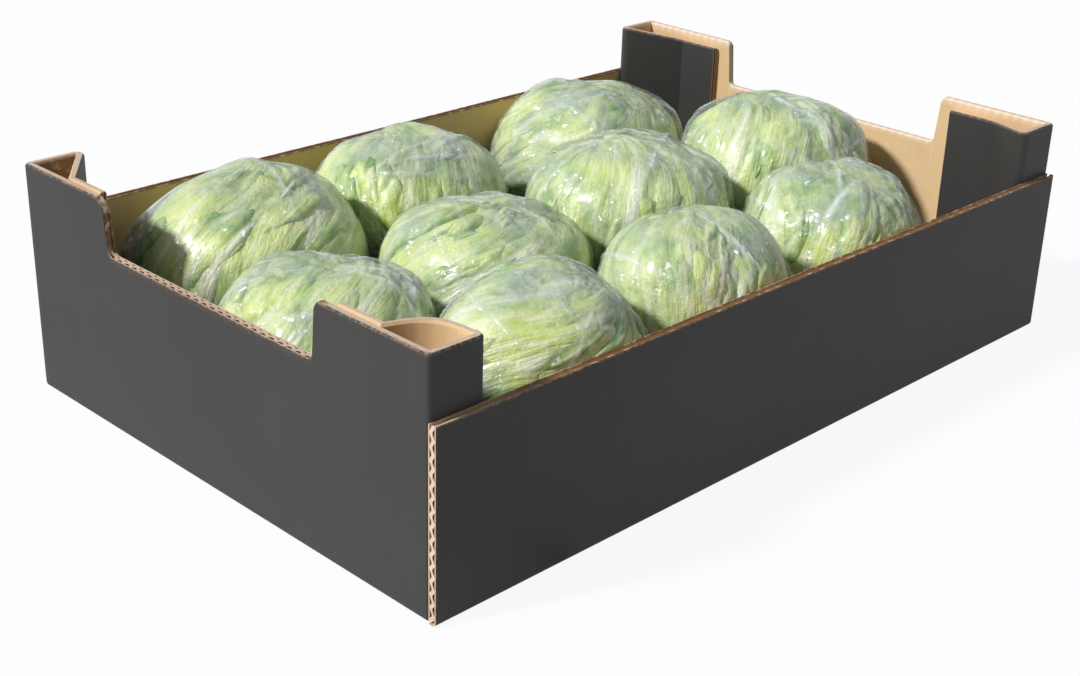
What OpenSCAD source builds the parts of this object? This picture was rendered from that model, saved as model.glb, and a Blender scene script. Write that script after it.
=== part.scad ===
// Lettuce box: an open corrugated tray, folded and glued from one blank, packed with
// ten iceberg heads that are each wrapped in clear film.
// Millimetres, +Z up. The origin is the middle of the tray's underside, X runs along the
// long sides, and the near long side faces -Y.

/* [Tray] */
// Outside length of the tray
tray_l = 600; // [560:1:660]
// Outside width of the tray
tray_w = 400; // [380:1:440]
// Height of the long sides
side_h = 119; // [100:0.5:130]
// Height of the end panels and corner posts
end_h = 157; // [145:0.5:175]
// Thickness of the corrugated board
board_t = 5.5; // [4:0.1:7]
// Outside radius of the folds
fold_r = 3; // [1.5:0.1:3.9]
// How far the far side's left raw end stops short of the end panel's face
side_setback = 4; // [0:0.5:4]

/* [End cut-outs] */
// Width of a cut-out along its floor
cut_w = 200; // [120:1:215]
// Depth of a cut-out below the end panel's top
cut_d = 36; // [20:0.5:50]
// How far each side of a cut-out leans out at the top
cut_lean = 3; // [0:0.5:8]
// Radius in the lower corners of a cut-out
cut_floor_r = 5; // [1:0.5:8]
// Radius on the upper corners of a cut-out
cut_top_r = 4; // [1:0.5:8]
// Radius on the one upper corner that is worn soft
worn_top_r = 11; // [1:0.5:12]

/* [Corner posts] */
// Length of the post flap that is glued to the long side
side_flap = 40; // [30:0.5:60]
// How far a post reaches along the end panel
post_reach = 46; // [36:0.5:56]
// Width of the post flap that is glued to the end panel
end_flap = 34; // [15:0.5:38]
// Drop of the right-hand posts' end flaps below the end panel's top
flap_drop = 7; // [1:0.5:15]
// Inward bow of the near left post's slanting wall
post_bow = 11; // [2:0.5:14]
// Width of the open glue line at the top of an end flap
glue_gap = 1; // [0.3:0.1:2]
// Depth of that open glue line
glue_gap_d = 14; // [4:0.5:30]

/* [Lettuce heads] */
// Usual diameter of a wrapped head
head_d = 148; // [130:1:158]
// Usual height of a wrapped head, before its base is flattened
head_h = 146; // [130:1:150]
// Height of the soft lumps on a head
lump_h = 1; // [0:0.1:2]
// How far a head's own weight flattens its base
base_sink = 7; // [6:0.5:10]
// Depth of the step where one leaf laps over the next
leaf_lap = 8; // [5:0.5:11]
// Turn of the leaf edges from the crown to the base, in degrees
leaf_sweep = 70; // [0:5:120]
// Sideways wave of the leaf edges, in degrees
edge_wave = 7; // [0:1:9]

/* [Film] */
// Thickness of the film
film_t = 0.2; // [0.1:0.05:0.5]
// Slack between the film and the leaves
film_slack = 0.3; // [0.1:0.05:1]
// How far the film dips into the laps between leaves
film_dip = 5; // [0:0.5:5]
// Half width of a loose ear of film, in degrees
ear_spread = 26; // [15:1:40]
// Gap between a wrapped head and whatever it rests against
rest_gap = 0.3; // [0.1:0.05:1]

/* [Hidden] */
// Faces of the tray's inside
inner_x = tray_l / 2 - board_t;
inner_y = tray_w / 2 - board_t;
cut_floor_z = end_h - cut_d;
arc_steps = 6;
overcut = 1;

// Where the parts of a post lie, in the corner where X and Y are positive: the fold between
// the side flap and the slanting wall turns about the pivot, and the wall meets the end flap
// at the knee.
pivot = [tray_l / 2 - side_flap + board_t, inner_y - board_t];
knee = [inner_x - board_t, inner_y - post_reach];
flap_edge_y = knee[1] - end_flap;
pivot_to_knee = knee - pivot;
wall_run = sqrt(pow(norm(pivot_to_knee), 2) - pow(board_t, 2));
wall_angle = atan2(pivot_to_knee[1], pivot_to_knee[0]) + atan2(board_t, wall_run);
wall_along = [cos(wall_angle), sin(wall_angle)];
wall_inward = [sin(wall_angle), -cos(wall_angle)];
wall_far = pivot + wall_along * (inner_x - pivot[0]) / wall_along[0];

// Each head: place along X and Y as a share of the tray's inside, what is added to the usual
// diameter and height, the turn of its leaves, and its loose ear of film as a bearing, an
// elevation and a rise. Four heads stand along the far side and at the right end, three in
// the middle and three along the near side.
HEADS = [
    [-0.62,  0.57,  13,   5,  10, 135,  5, 9],
    [-0.14,  0.62,   4,   0, 130,   0, 40, 0],
    [ 0.48,  0.59,  12,   3, 250, -45, 25, 6],
    [ 0.73, -0.05,   7,   7,  60, 140, 35, 5],
    [-0.77, -0.10,  -7,  -9, 200, -50, 25, 8],
    [-0.30, -0.07,   9,  -7, 310,   0, 40, 0],
    [ 0.20, -0.01,  14,   5,  90, -45, 20, 4],
    [-0.52, -0.65, -10,   0,  20, -30, 10, 5],
    [-0.05, -0.64, -11,   0, 165, -45,  0, 6],
    [ 0.45, -0.64,  -9,  -1, 285,   0, 40, 0]
];
// Rings of a head, in degrees down from its crown, closer where they show
RINGS = [13, 29, 45, 61, 77, 94, 113, 135, 160];
// Columns across one leaf: where each lies, and how much of the lap's depth it has. A leaf
// rises slowly from under its neighbour to its own edge, then steps down.
LEAF_COLUMNS = [0.07, 0.36, 0.70, 1.00];
LEAF_DEPTHS  = [1.00, 0.50, 0.16, 0.00];
// How far down from the crown each leaf's upper edge lies, in degrees, and the share of the
// lap's depth that the head steps in above that edge
LEAF_TOPS = [37, 69, 21, 53, 37];
top_step = 0.4;
leaves = len(LEAF_TOPS);
columns = leaves * len(LEAF_COLUMNS);
last_ring = len(RINGS) - 1;
// A head is a little squarer than a ball, with waves round it and crossing lumps
dome_power = 2.5;
lobe = 0.022;
lump_turn = 330;
crinkle = 1.1;
crown_dip = 0.6;
edge_waves = 2.5;
press_power = 14;

function arc(centre, r, from, to) =
    [for (k = [0 : arc_steps])
        let (a = from + (to - from) * k / arc_steps) centre + r * [cos(a), sin(a)]];

function flipped(points) = [for (k = [len(points) - 1 : -1 : 0]) [-points[k][0], points[k][1]]];

function reversed(points) = [for (k = [len(points) - 1 : -1 : 0]) points[k]];

// Section of a panel that is folded up from the floor: its outside bottom edge is the fold
function folded_up(inside, outside, top) = concat(
    [[inside, 0]],
    arc([outside - fold_r, fold_r], fold_r, -90, 0),
    [[outside, top], [inside, top]]
);

// Right half of a cut-out's outline, from the middle of its floor to above the panel's top
function cut_half(top_r) =
    let (
        lean = atan2(cut_lean, cut_d),
        low = [cut_w / 2 + cut_floor_r * (tan(lean) - 1 / cos(lean)), cut_floor_z + cut_floor_r],
        high = [cut_w / 2 + (cut_d - top_r) * tan(lean) + top_r / cos(lean), end_h - top_r]
    )
    concat(
        arc(low, cut_floor_r, -90, -lean),
        arc(high, top_r, 180 - lean, 90),
        [[high[0], end_h + overcut]]
    );

// A long side on +Y, with its raw ends flush with the end panels or set back on the left
module side_panel(setback) {
    translate([setback - tray_l / 2, 0, 0])
        rotate([90, 0, 90])
            linear_extrude(tray_l - setback)
                polygon(folded_up(inner_y, tray_w / 2, side_h));
}

// An end panel on +X, rounded where it folds up from the floor and round into its posts
module end_panel(near_r, far_r) {
    difference() {
        intersection() {
            rotate([90, 0, 0])
                linear_extrude(2 * inner_y, center = true)
                    polygon(folded_up(inner_x, tray_l / 2, end_h));
            linear_extrude(end_h)
                polygon(concat(
                    [[inner_x, -inner_y]],
                    arc([tray_l / 2 - fold_r, fold_r - inner_y], fold_r, -90, 0),
                    arc([tray_l / 2 - fold_r, inner_y - fold_r], fold_r, 0, 90),
                    [[inner_x, inner_y]]
                ));
        }
        translate([inner_x - overcut, 0, 0])
            rotate([90, 0, 90])
                linear_extrude(board_t + 2 * overcut)
                    polygon(concat(flipped(cut_half(near_r)), cut_half(far_r)));
    }
}

// The flap of a post that lies against the long side
module post_side_flap() {
    translate([pivot[0], pivot[1], 0])
        cube([tray_l / 2 - fold_r - pivot[0], board_t, end_h]);
}

// The slanting wall of a post, from its fold at the side flap to the knee, and its end flap.
// bow pushes the wall inwards, and drop is how far the end flap stops below the panel.
module post_wall(drop, bow) {
    pieces = bow > 0 ? 8 : 1;
    wall_start = pivot + board_t * wall_inward;
    inside_face = [for (k = [0 : pieces])
        wall_start + (knee - wall_start) * k / pieces + wall_inward * bow * sin(180 * k / pieces)];
    hollow_face = [for (k = [0 : pieces])
        pivot + (wall_far - pivot) * k / pieces + wall_inward * bow * sin(180 * k / pieces)];
    reach = wall_run + 2 * end_flap;
    difference() {
        linear_extrude(end_h)
            polygon(concat(
                arc(pivot, board_t, 90, 270 + wall_angle - overcut),
                inside_face,
                [[knee[0], flap_edge_y], [inner_x, flap_edge_y]],
                reversed(hollow_face)
            ));
        if (drop > 0)
            translate([pivot[0], pivot[1], 0])
                rotate([90, 0, wall_angle])
                    linear_extrude(2 * reach, center = true)
                        polygon([
                            [0, end_h],
                            [wall_run, end_h - drop],
                            [reach, end_h - drop],
                            [reach, end_h + overcut],
                            [0, end_h + overcut]
                        ]);
        translate([0, knee[1], 0])
            rotate([90, 0, 0])
                linear_extrude(end_flap + overcut)
                    polygon([
                        [inner_x, end_h - drop - glue_gap_d],
                        [inner_x, end_h + overcut],
                        [inner_x - glue_gap, end_h + overcut],
                        [inner_x - glue_gap, end_h - drop]
                    ]);
    }
}

module post(drop = 0, bow = 0) {
    post_side_flap();
    post_wall(drop, bow);
}

module tray() {
    color("#3c3b39") {
        translate([-inner_x - overcut, -inner_y - overcut, 0])
            cube([2 * (inner_x + overcut), 2 * (inner_y + overcut), board_t]);
        side_panel(side_setback);
        mirror([0, 1, 0]) side_panel(0);
        end_panel(cut_top_r, cut_top_r);
        mirror([1, 0, 0]) end_panel(cut_top_r, worn_top_r);
        post(drop = flap_drop);
        mirror([0, 1, 0]) post(drop = flap_drop);
        mirror([1, 0, 0]) post();
        mirror([1, 0, 0]) mirror([0, 1, 0]) post(bow = post_bow);
    }
}

// Sizes and place of a wrapped head
function half_d(i) = (head_d + HEADS[i][2]) / 2;

function half_h(i) = (head_h + HEADS[i][3]) / 2;

function head_at(i) = [
    HEADS[i][0] * inner_x,
    HEADS[i][1] * inner_y,
    board_t + rest_gap + half_h(i) - base_sink
];

// The inner faces that stop a head: beside a post they are the faces of its glued flaps
function end_stop(i) = inner_x - (abs(head_at(i)[1]) + half_d(i) > flap_edge_y ? board_t : 0);

function side_stop(i) =
    inner_y - (abs(head_at(i)[0]) + half_d(i) > tray_l / 2 - side_flap ? board_t : 0);

// Every plane that presses on a head's sides, as its direction from the head's middle and its
// distance: the tray's sides and ends, the posts' slanting walls and the neighbouring heads
function pressing_planes(i) =
    let (c = head_at(i))
    concat(
        [for (s = [-1, 1]) [[s, 0, 0], end_stop(i) - rest_gap - s * c[0]]],
        [for (s = [-1, 1]) [[0, s, 0], side_stop(i) - rest_gap - s * c[1]]],
        [for (sx = [-1, 1]) for (sy = [-1, 1])
            let (
                bow = sx < 0 && sy < 0 ? post_bow : 0,
                to_corner = [-sx * wall_inward[0], -sy * wall_inward[1], 0],
                on_wall = knee + wall_inward * bow
            )
            [to_corner, to_corner * ([sx * on_wall[0], sy * on_wall[1], 0] - c) - rest_gap]],
        [for (j = [0 : len(HEADS) - 1]) if (j != i)
            let (apart = head_at(j) - c)
            [apart / norm(apart),
             norm(apart) * half_d(i) / (half_d(i) + half_d(j)) - rest_gap / 2]]
    );

// A radius r along e, eased down smoothly so that it never passes one of the planes, and cut
// off flat where the head stands on the floor
function pressed(i, r, e, planes) =
    let (
        shares = [for (p = planes) pow(max(0, e * p[0] / p[1]), press_power)],
        eased = pow(pow(r, -press_power) + shares * [for (s = shares) 1], -1 / press_power)
    )
    e[2] < 0 ? min(eased, (half_h(i) - base_sink) / -e[2]) : eased;

function on_sphere(polar, bearing) =
    [sin(polar) * cos(bearing), sin(polar) * sin(bearing), cos(polar)];

// Bearing of column k of a ring: the columns follow the leaf edges, which sweep round
function column_bearing(i, polar, k) =
    let (leaf = floor(k / len(LEAF_COLUMNS)), across = LEAF_COLUMNS[k % len(LEAF_COLUMNS)])
    HEADS[i][4] + 360 * (leaf + across) / leaves + leaf_sweep * (1 - polar / 180)
    + edge_wave * sin(edge_waves * polar + HEADS[i][4]);

// Soft lumps of a head along e: three crossing waves
function lumps(i, e) =
    lump_h * (sin(lump_turn * e[0] + 2 * HEADS[i][4]) + sin(lump_turn * e[1] + 5 * HEADS[i][4])
              + sin(lump_turn * e[2] + 3 * HEADS[i][4]));

// Round form of a head along e: a squarish spheroid with two shallow waves round it
function plain_radius(i, e, bearing) =
    (1 + lobe * sin(2 * bearing + 3 * HEADS[i][4]) * norm([e[0], e[1]])
       + lobe / 2 * sin(3 * bearing - HEADS[i][4]))
    / pow(
        pow(norm([e[0], e[1]]) / half_d(i), dome_power) + pow(abs(e[2]) / half_h(i), dome_power),
        1 / dome_power
    )
    + lumps(i, e);

function crown_height(i) = half_h(i) + lumps(i, [0, 0, 1]);

// Share of the lap's depth at column k, fading out towards the crown and the base
function lap_share(polar, k) =
    let (leaf = floor(k / len(LEAF_COLUMNS)))
    (LEAF_DEPTHS[k % len(LEAF_DEPTHS)] + (polar < LEAF_TOPS[leaf] ? top_step : 0))
    * sqrt(sin(polar));

function ear_rise(i, e) =
    let (away = acos(max(-1, min(1, e * on_sphere(90 - HEADS[i][6], HEADS[i][5])))))
    HEADS[i][7] * exp(-pow(away / ear_spread, 2));

// One point of the film's outside, and one of the leaves below it
function film_radius(i, planes, polar, k, loose) =
    let (bearing = column_bearing(i, polar, k), e = on_sphere(polar, bearing))
    pressed(
        i,
        plain_radius(i, e, bearing) - film_dip * lap_share(polar, k) + loose * ear_rise(i, e),
        e, planes
    );

function leaf_radius(i, planes, polar, k, fold) =
    film_radius(i, planes, polar, k, 0) - film_t - film_slack
    - (leaf_lap - film_dip) * lap_share(polar, k) - crinkle * fold;

function ring_points(i, radii) =
    [for (r = [0 : last_ring]) for (k = [0 : columns - 1])
        head_at(i) + radii[r][k] * on_sphere(RINGS[r], column_bearing(i, RINGS[r], k))];

// Triangles of a swept grid of rings, clockwise seen from outside, starting at point first
function band_faces(first) =
    [for (r = [0 : last_ring - 1]) for (k = [0 : columns - 1]) for (half = [0, 1])
        let (
            next = (k + 1) % columns,
            a = first + r * columns + k,
            b = first + r * columns + next,
            c = first + (r + 1) * columns + next,
            d = first + (r + 1) * columns + k
        )
        half == 0 ? [a, b, c] : [a, c, d]];

function cap_faces(first, pole) =
    [for (k = [0 : columns - 1]) [pole, first + (k + 1) % columns, first + k]];

function inside_out(faces) = [for (f = faces) [f[2], f[1], f[0]]];

// A head: lapped leaves from crown to base, crinkled a little, just inside its film
module lettuce(i) {
    planes = pressing_planes(i);
    folds = rands(0, 1, len(RINGS) * columns, 40 + i);
    radii = [for (r = [0 : last_ring])
        [for (k = [0 : columns - 1])
            leaf_radius(i, planes, RINGS[r], k, folds[r * columns + k])]];
    crown = crown_height(i) - crown_dip * leaf_lap - film_t - film_slack;
    base = half_h(i) - base_sink - film_t - film_slack;
    rim = len(RINGS) * columns;
    color("#b9c77c")
        polyhedron(
            points = concat(
                ring_points(i, radii),
                [head_at(i) + [0, 0, crown], head_at(i) - [0, 0, base]]
            ),
            faces = concat(
                band_faces(0),
                cap_faces(0, rim),
                inside_out(cap_faces(last_ring * columns, rim + 1))
            ),
            convexity = 4
        );
}

// The film round a head: one thin sheet, closed over the crown and tucked under to an open
// mouth on the floor
module film_wrap(i) {
    planes = pressing_planes(i);
    outside = [for (r = [0 : last_ring])
        [for (k = [0 : columns - 1]) film_radius(i, planes, RINGS[r], k, 1)]];
    inside = [for (ring = outside) [for (r = ring) r - film_t]];
    crown = crown_height(i) - crown_dip * film_dip;
    in = len(RINGS) * columns;
    mouth = last_ring * columns;
    color("#dfe9e4", 0.35)
        polyhedron(
            points = concat(
                ring_points(i, outside),
                ring_points(i, inside),
                [head_at(i) + [0, 0, crown], head_at(i) + [0, 0, crown - film_t]]
            ),
            faces = concat(
                band_faces(0),
                cap_faces(0, 2 * in),
                inside_out(band_faces(in)),
                inside_out(cap_faces(in, 2 * in + 1)),
                [for (k = [0 : columns - 1]) for (half = [0, 1])
                    let (a = mouth + k, b = mouth + (k + 1) % columns)
                    half == 0 ? [a, b, in + b] : [a, in + b, in + a]]
            ),
            convexity = 4
        );
}

tray();
for (i = [0 : len(HEADS) - 1]) {
    lettuce(i);
    film_wrap(i);
}
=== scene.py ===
# %% [markdown]
# # A box of film-wrapped lettuces
# The CAD model fixes where everything is: a folded corrugated tray, ten iceberg heads and the
# film round each head. This lesson loads it as a fixed frame and dresses it. The board gets
# real liners and fluting, the heads get leaves, and the film gets its folds and gloss.

import bpy
import numpy as np
from mathutils import Euler, Matrix, Vector


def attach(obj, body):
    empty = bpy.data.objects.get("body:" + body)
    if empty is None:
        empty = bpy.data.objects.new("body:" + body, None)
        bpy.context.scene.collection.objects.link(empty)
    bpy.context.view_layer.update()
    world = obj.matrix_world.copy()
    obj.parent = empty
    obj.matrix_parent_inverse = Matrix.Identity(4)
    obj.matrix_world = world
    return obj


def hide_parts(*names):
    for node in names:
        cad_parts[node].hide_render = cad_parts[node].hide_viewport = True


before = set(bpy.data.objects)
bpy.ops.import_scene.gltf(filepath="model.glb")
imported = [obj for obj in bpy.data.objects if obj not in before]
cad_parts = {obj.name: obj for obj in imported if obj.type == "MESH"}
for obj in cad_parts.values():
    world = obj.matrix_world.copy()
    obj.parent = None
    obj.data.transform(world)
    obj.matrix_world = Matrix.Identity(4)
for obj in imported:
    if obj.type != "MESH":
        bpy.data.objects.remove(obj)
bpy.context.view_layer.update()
print("nodes in the frame:", len(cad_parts))

# %% [markdown]
# ## From whole arrays to meshes
# Every shape below is worked out by numpy as a grid of points, and Blender only gets the
# finished arrays. Building vertex by vertex with operators would also work, but it is slow and
# hides the formula. Points are in millimetres, as on a carton maker's drawing, and the helper
# turns them into metres.

# %% Grid and mesh helpers
MM = 0.001


def grid_quads(rows, columns, first=0, wrap=False):
    """Corners of the cells of a grid whose points are numbered row by row from first.

    Cell (r, c) joins (r, c), (r, c+1), (r+1, c+1) and (r+1, c). With wrap, the last column is
    joined to column 0."""
    r = np.arange(rows - 1)[:, None]
    c = np.arange(columns if wrap else columns - 1)
    right = (c + 1) % columns
    cell = [r * columns + c, r * columns + right, (r + 1) * columns + right, (r + 1) * columns + c]
    return first + np.stack(np.broadcast_arrays(*cell), axis=-1).reshape(-1, 4)


def make_piece(name, points, faces, materials, face_material=None, uv=None, values=None):
    """One mesh object from arrays: points in mm, a list of triangle or quad arrays, the number
    of each face's material, a flat coordinate per point, and named values per point."""
    mesh = bpy.data.meshes.new(name)
    corners = np.concatenate([f.ravel() for f in faces]).astype(np.int32)
    sizes = np.concatenate([np.full(len(f), f.shape[1]) for f in faces])
    mesh.vertices.add(len(points))
    mesh.vertices.foreach_set("co", (points * MM).astype(np.float32).ravel())
    mesh.loops.add(len(corners))
    mesh.loops.foreach_set("vertex_index", corners)
    mesh.polygons.add(len(sizes))
    mesh.polygons.foreach_set("loop_start", (np.cumsum(sizes) - sizes).astype(np.int32))
    mesh.update(calc_edges=True)
    if uv is not None:
        layer = mesh.uv_layers.new(name="flat")
        layer.data.foreach_set("uv", uv[corners].astype(np.float32).ravel())
    for key, value in (values or {}).items():
        kind, field = ("FLOAT_VECTOR", "vector") if value.ndim == 2 else ("FLOAT", "value")
        attribute = mesh.attributes.new(key, kind, "POINT")
        attribute.data.foreach_set(field, value.astype(np.float32).ravel())
    for material in materials:
        mesh.materials.append(material)
    if face_material is not None:
        mesh.polygons.foreach_set("material_index", face_material.astype(np.int32))
    mesh.shade_smooth()
    piece = bpy.data.objects.new(name, mesh)
    bpy.context.scene.collection.objects.link(piece)
    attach(piece, "root")
    return piece


print("mesh helpers ready, one unit is", MM, "m")

# %% Slabs, ripples and bells


def slab(front, back):
    """A thin sheet between two matching grids of points, closed round its rim.

    Returns its points, its quads and the side that each quad is on: 0 front, 1 back, 2 rim. The
    quads are turned, if need be, so that the front looks away from the back."""
    rows, columns = front.shape[:2]
    size = rows * columns
    number = np.arange(size).reshape(rows, columns)
    face = grid_quads(rows, columns)
    rim = np.concatenate([number[0, :-1], number[:-1, -1], number[-1, :0:-1], number[:0:-1, 0]])
    after = np.roll(rim, -1)
    edge = np.stack([after, rim, rim + size, after + size], axis=-1)
    quads = np.concatenate([face, face[:, ::-1] + size, edge])
    down = np.diff(front, axis=0)[:, :-1]
    along = np.diff(front, axis=1)[:-1]
    if (np.cross(along, down) * (front - back)[:-1, :-1]).sum() < 0:
        quads = quads[:, ::-1]
    side = np.repeat([0, 1, 2], [len(face), len(face), len(edge)])
    return np.concatenate([front.reshape(-1, 3), back.reshape(-1, 3)]), quads, side


def ripples(points, wavelength, seed, waves=12):
    """A smooth random field: plane waves in random directions, added up.

    Each is the sine of the distance along its direction, and the sum has about unit spread."""
    rng = np.random.default_rng(seed)
    ways = rng.normal(size=(waves, 3))
    ways /= np.linalg.norm(ways, axis=1, keepdims=True)
    pace = 2 * np.pi / (wavelength * rng.uniform(0.7, 1.35, waves))
    start = rng.uniform(0, 2 * np.pi, waves)
    return np.sin(points @ (ways * pace[:, None]).T + start).sum(-1) * np.sqrt(2 / waves)


def smooth_step(low, high, x):
    """0 below low, 1 above high, and the cubic 3t2 - 2t3 between them."""
    t = np.clip((x - low) / (high - low), 0, 1)
    return t * t * (3 - 2 * t)


def bell(x, width):
    """1 where x is 0 and 1/e where x is width: the exponential of minus the square of x / width."""
    return np.exp(-((x / width) ** 2))


print("shape helpers ready")

# %% [markdown]
# ## Materials from nodes
# A few helpers keep the node trees readable: one adds a node with its inputs, and the others
# add the small sums and colour blends that most finishes need.

# %% Node helpers


def srgb(code):
    """Linear colour of a six-figure sRGB code."""
    c = np.array([int(code[k:k + 2], 16) for k in (0, 2, 4)]) / 255
    linear = np.where(c <= 0.04045, c / 12.92, ((c + 0.055) / 1.055) ** 2.4)
    return (*linear.tolist(), 1.0)


def add(tree, kind, inputs=None, **settings):
    """A new node, with each input set to a value or linked to a socket."""
    node = tree.nodes.new(kind)
    for key, value in settings.items():
        setattr(node, key, value)
    for key, value in (inputs or {}).items():
        if isinstance(value, bpy.types.NodeSocket):
            tree.links.new(value, node.inputs[key])
        else:
            node.inputs[key].default_value = value
    return node


def math(tree, operation, a, b=0.0, c=0.0, clamp=False):
    """Socket of a Math node on a, b and, where it takes three, c."""
    node = add(tree, "ShaderNodeMath", {0: a, 1: b, 2: c}, operation=operation, use_clamp=clamp)
    return node.outputs[0]


def blend(tree, share, a, b):
    """Socket of the colour that goes from a to b as share goes from 0 to 1."""
    node = add(tree, "ShaderNodeMix", {0: share, 6: a, 7: b}, data_type="RGBA")
    return node.outputs[2]


def noise(tree, where, scale, detail=3.0, roughness=0.55):
    """Socket of a noise texture's value."""
    inputs = {"Vector": where, "Scale": scale, "Detail": detail, "Roughness": roughness}
    return add(tree, "ShaderNodeTexNoise", inputs).outputs["Fac"]


def ramp(tree, value, low, high, to_low=0.0, to_high=1.0):
    """Socket that carries value from the range low..high to to_low..to_high, and stops there."""
    inputs = {"Value": value, "From Min": low, "From Max": high, "To Min": to_low, "To Max": to_high}
    return add(tree, "ShaderNodeMapRange", inputs).outputs["Result"]


def attribute(tree, name, output="Fac"):
    """Socket of a value that the mesh carries per point."""
    return add(tree, "ShaderNodeAttribute", attribute_name=name).outputs[output]


def new_finish(name):
    """An empty material: its tree, its shader and the socket of the object's coordinates."""
    material = bpy.data.materials.new(name)
    material.use_nodes = True
    tree = material.node_tree
    shader = tree.nodes["Principled BSDF"]
    place = add(tree, "ShaderNodeTexCoord").outputs["Object"]
    return material, tree, shader, place


def bump(tree, shader, height, distance, strength=1.0):
    """Tilt the shader's normals by a height field, distance metres high."""
    inputs = {"Height": height, "Distance": distance, "Strength": strength}
    node = add(tree, "ShaderNodeBump", inputs)
    tree.links.new(node.outputs["Normal"], shader.inputs["Normal"])


print("node helpers ready")

# %% [markdown]
# ## Finishes of the board
# The tray is cut from brown corrugated board. Its outside liner is flood printed in charcoal,
# the inside is bare kraft, and the cut edges show pale paper and the fluting. A photograph of
# board would be the quick way. Here fibres, the faint lines of the flutes and the rubbed edges
# come from noise and from the mesh's own flat coordinates, so they stay sharp at any distance.

# %% Board finishes
FLUTE_PITCH = 8.0


def flute_lines(tree):
    """Socket of a wave that rises and falls once per flute along the board's flat coordinate."""
    flat = add(tree, "ShaderNodeUVMap", uv_map="flat").outputs["UV"]
    across = add(tree, "ShaderNodeSeparateXYZ", {0: flat}).outputs["X"]
    return math(tree, "SINE", math(tree, "MULTIPLY", across, 2 * np.pi / FLUTE_PITCH))


def paper_finish(name, colours, rough, show_through):
    """Paper: three close colours mixed by cloudy and by fibre noise, with the flutes showing
    through as a low relief of show_through metres."""
    material, tree, shader, place = new_finish(name)
    cloud = noise(tree, place, 18.0)
    long_way = add(tree, "ShaderNodeMapping", {"Vector": place, "Scale": (90.0, 90.0, 700.0)})
    fibre = noise(tree, long_way.outputs["Vector"], 4.0, 4.0, 0.7)
    colour = blend(tree, ramp(tree, cloud, 0.35, 0.65), colours[0], colours[1])
    colour = blend(tree, ramp(tree, fibre, 0.55, 0.75), colour, colours[2])
    relief = math(tree, "ADD", math(tree, "MULTIPLY", flute_lines(tree), 0.5), fibre)
    bump(tree, shader, relief, show_through, 0.6)
    shader.inputs["Roughness"].default_value = rough
    shader.inputs["Specular IOR Level"].default_value = 0.3
    return material, tree, shader, colour, place


def printed_board():
    """Charcoal ink on kraft: the paper shows where the worn value and fine noise are both high."""
    greys = [srgb("373635"), srgb("343332"), srgb("3b3a38")]
    material, tree, shader, colour, place = paper_finish("charcoal_print", greys, 0.62, 0.00006)
    speck = noise(tree, place, 420.0, 2.0)
    rubbed = math(tree, "MULTIPLY", attribute(tree, "worn"), ramp(tree, speck, 0.40, 0.62))
    tree.links.new(blend(tree, rubbed, colour, srgb("9c7b5c")), shader.inputs["Base Color"])
    return material


def plain_board(name, codes, rough=0.85):
    """Bare paper in three close browns, darker where the mesh marks dirt or painted shade, and pale
    over the flutes where it says that the paper is frayed."""
    browns = [srgb(code) for code in codes]
    material, tree, shader, colour, place = paper_finish(name, browns, rough, 0.0001)
    speck = noise(tree, place, 160.0, 3.0)
    # The dark brown is dirt on the long sides' tops and painted shade on the cut-out's sides and in the
    # far left corner.
    soil_and_shade = math(tree, "MULTIPLY", attribute(tree, "soil_and_shade"), ramp(tree, speck, 0.64, 0.50))
    colour = blend(tree, soil_and_shade, colour, srgb("7d5a42"))
    over_flutes = ramp(tree, flute_lines(tree), -0.8, 0.8, 0.45, 0.85)
    frayed = math(tree, "MULTIPLY", attribute(tree, "frayed"), over_flutes)
    tree.links.new(blend(tree, frayed, colour, srgb("e9d6c2")), shader.inputs["Base Color"])
    return material


BOARD_FINISHES = [
    printed_board(),
    plain_board("kraft_liner", ["e0c095", "d8b588", "c9a477"]),
    plain_board("cut_edge", ["d6bfac", "cab09b", "b39783"]),
    plain_board("fluting_paper", ["bd9f86", "af8f75", "9b7a5f"]),
]
PRINT, KRAFT, CUT, FLUTING = range(len(BOARD_FINISHES))
print("board finishes:", [m.name for m in BOARD_FINISHES])

# %% [markdown]
# ## The tray as corrugated board
# Corrugated board is two flat liners with a wavy paper between them. A solid panel with a dotted
# picture on its edges could stand in for it, but the open flutes are what the eye looks for on a
# cut edge. So each panel is laid out as two matching lines, the printed face and the kraft face,
# and carried along the flutes. Two slabs are the liners, and a wave between them is the fluting.

# %% Sizes of the tray
TRAY_L, TRAY_W = 600.0, 400.0
SIDE_H, END_H = 119.0, 157.0
BOARD = 5.5
FOLD_R = 3.0
LINER = 0.7
PAPER, CRUSHED = 0.45, 2.4
INNER_X = TRAY_L / 2 - BOARD
INNER_Y = TRAY_W / 2 - BOARD
print("tray inside:", 2 * INNER_X, "x", 2 * INNER_Y, "mm")

# %% Corrugated panels
POINTS_PER_FLUTE = 8
PANEL_STEP = 7.0


def arc(centre, radius, start, end, steps=8):
    """Points on an arc, from one angle to another in degrees."""
    a = np.radians(np.linspace(start, end, steps + 1))
    return np.stack([centre[0] + radius * np.cos(a), centre[1] + radius * np.sin(a)], axis=-1)


def lengths(printed, kraft):
    """Length along the middle of the board at each pair of matching points."""
    middle = (printed + kraft) / 2
    return np.concatenate([[0], np.cumsum(np.linalg.norm(np.diff(middle, axis=0), axis=1))])


def at_lengths(where, s, keys):
    """Values of keys, which are known at the lengths s, at other lengths."""
    columns = keys.reshape(len(keys), -1).T
    return np.stack([np.interp(where, s, column) for column in columns], axis=-1)


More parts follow.
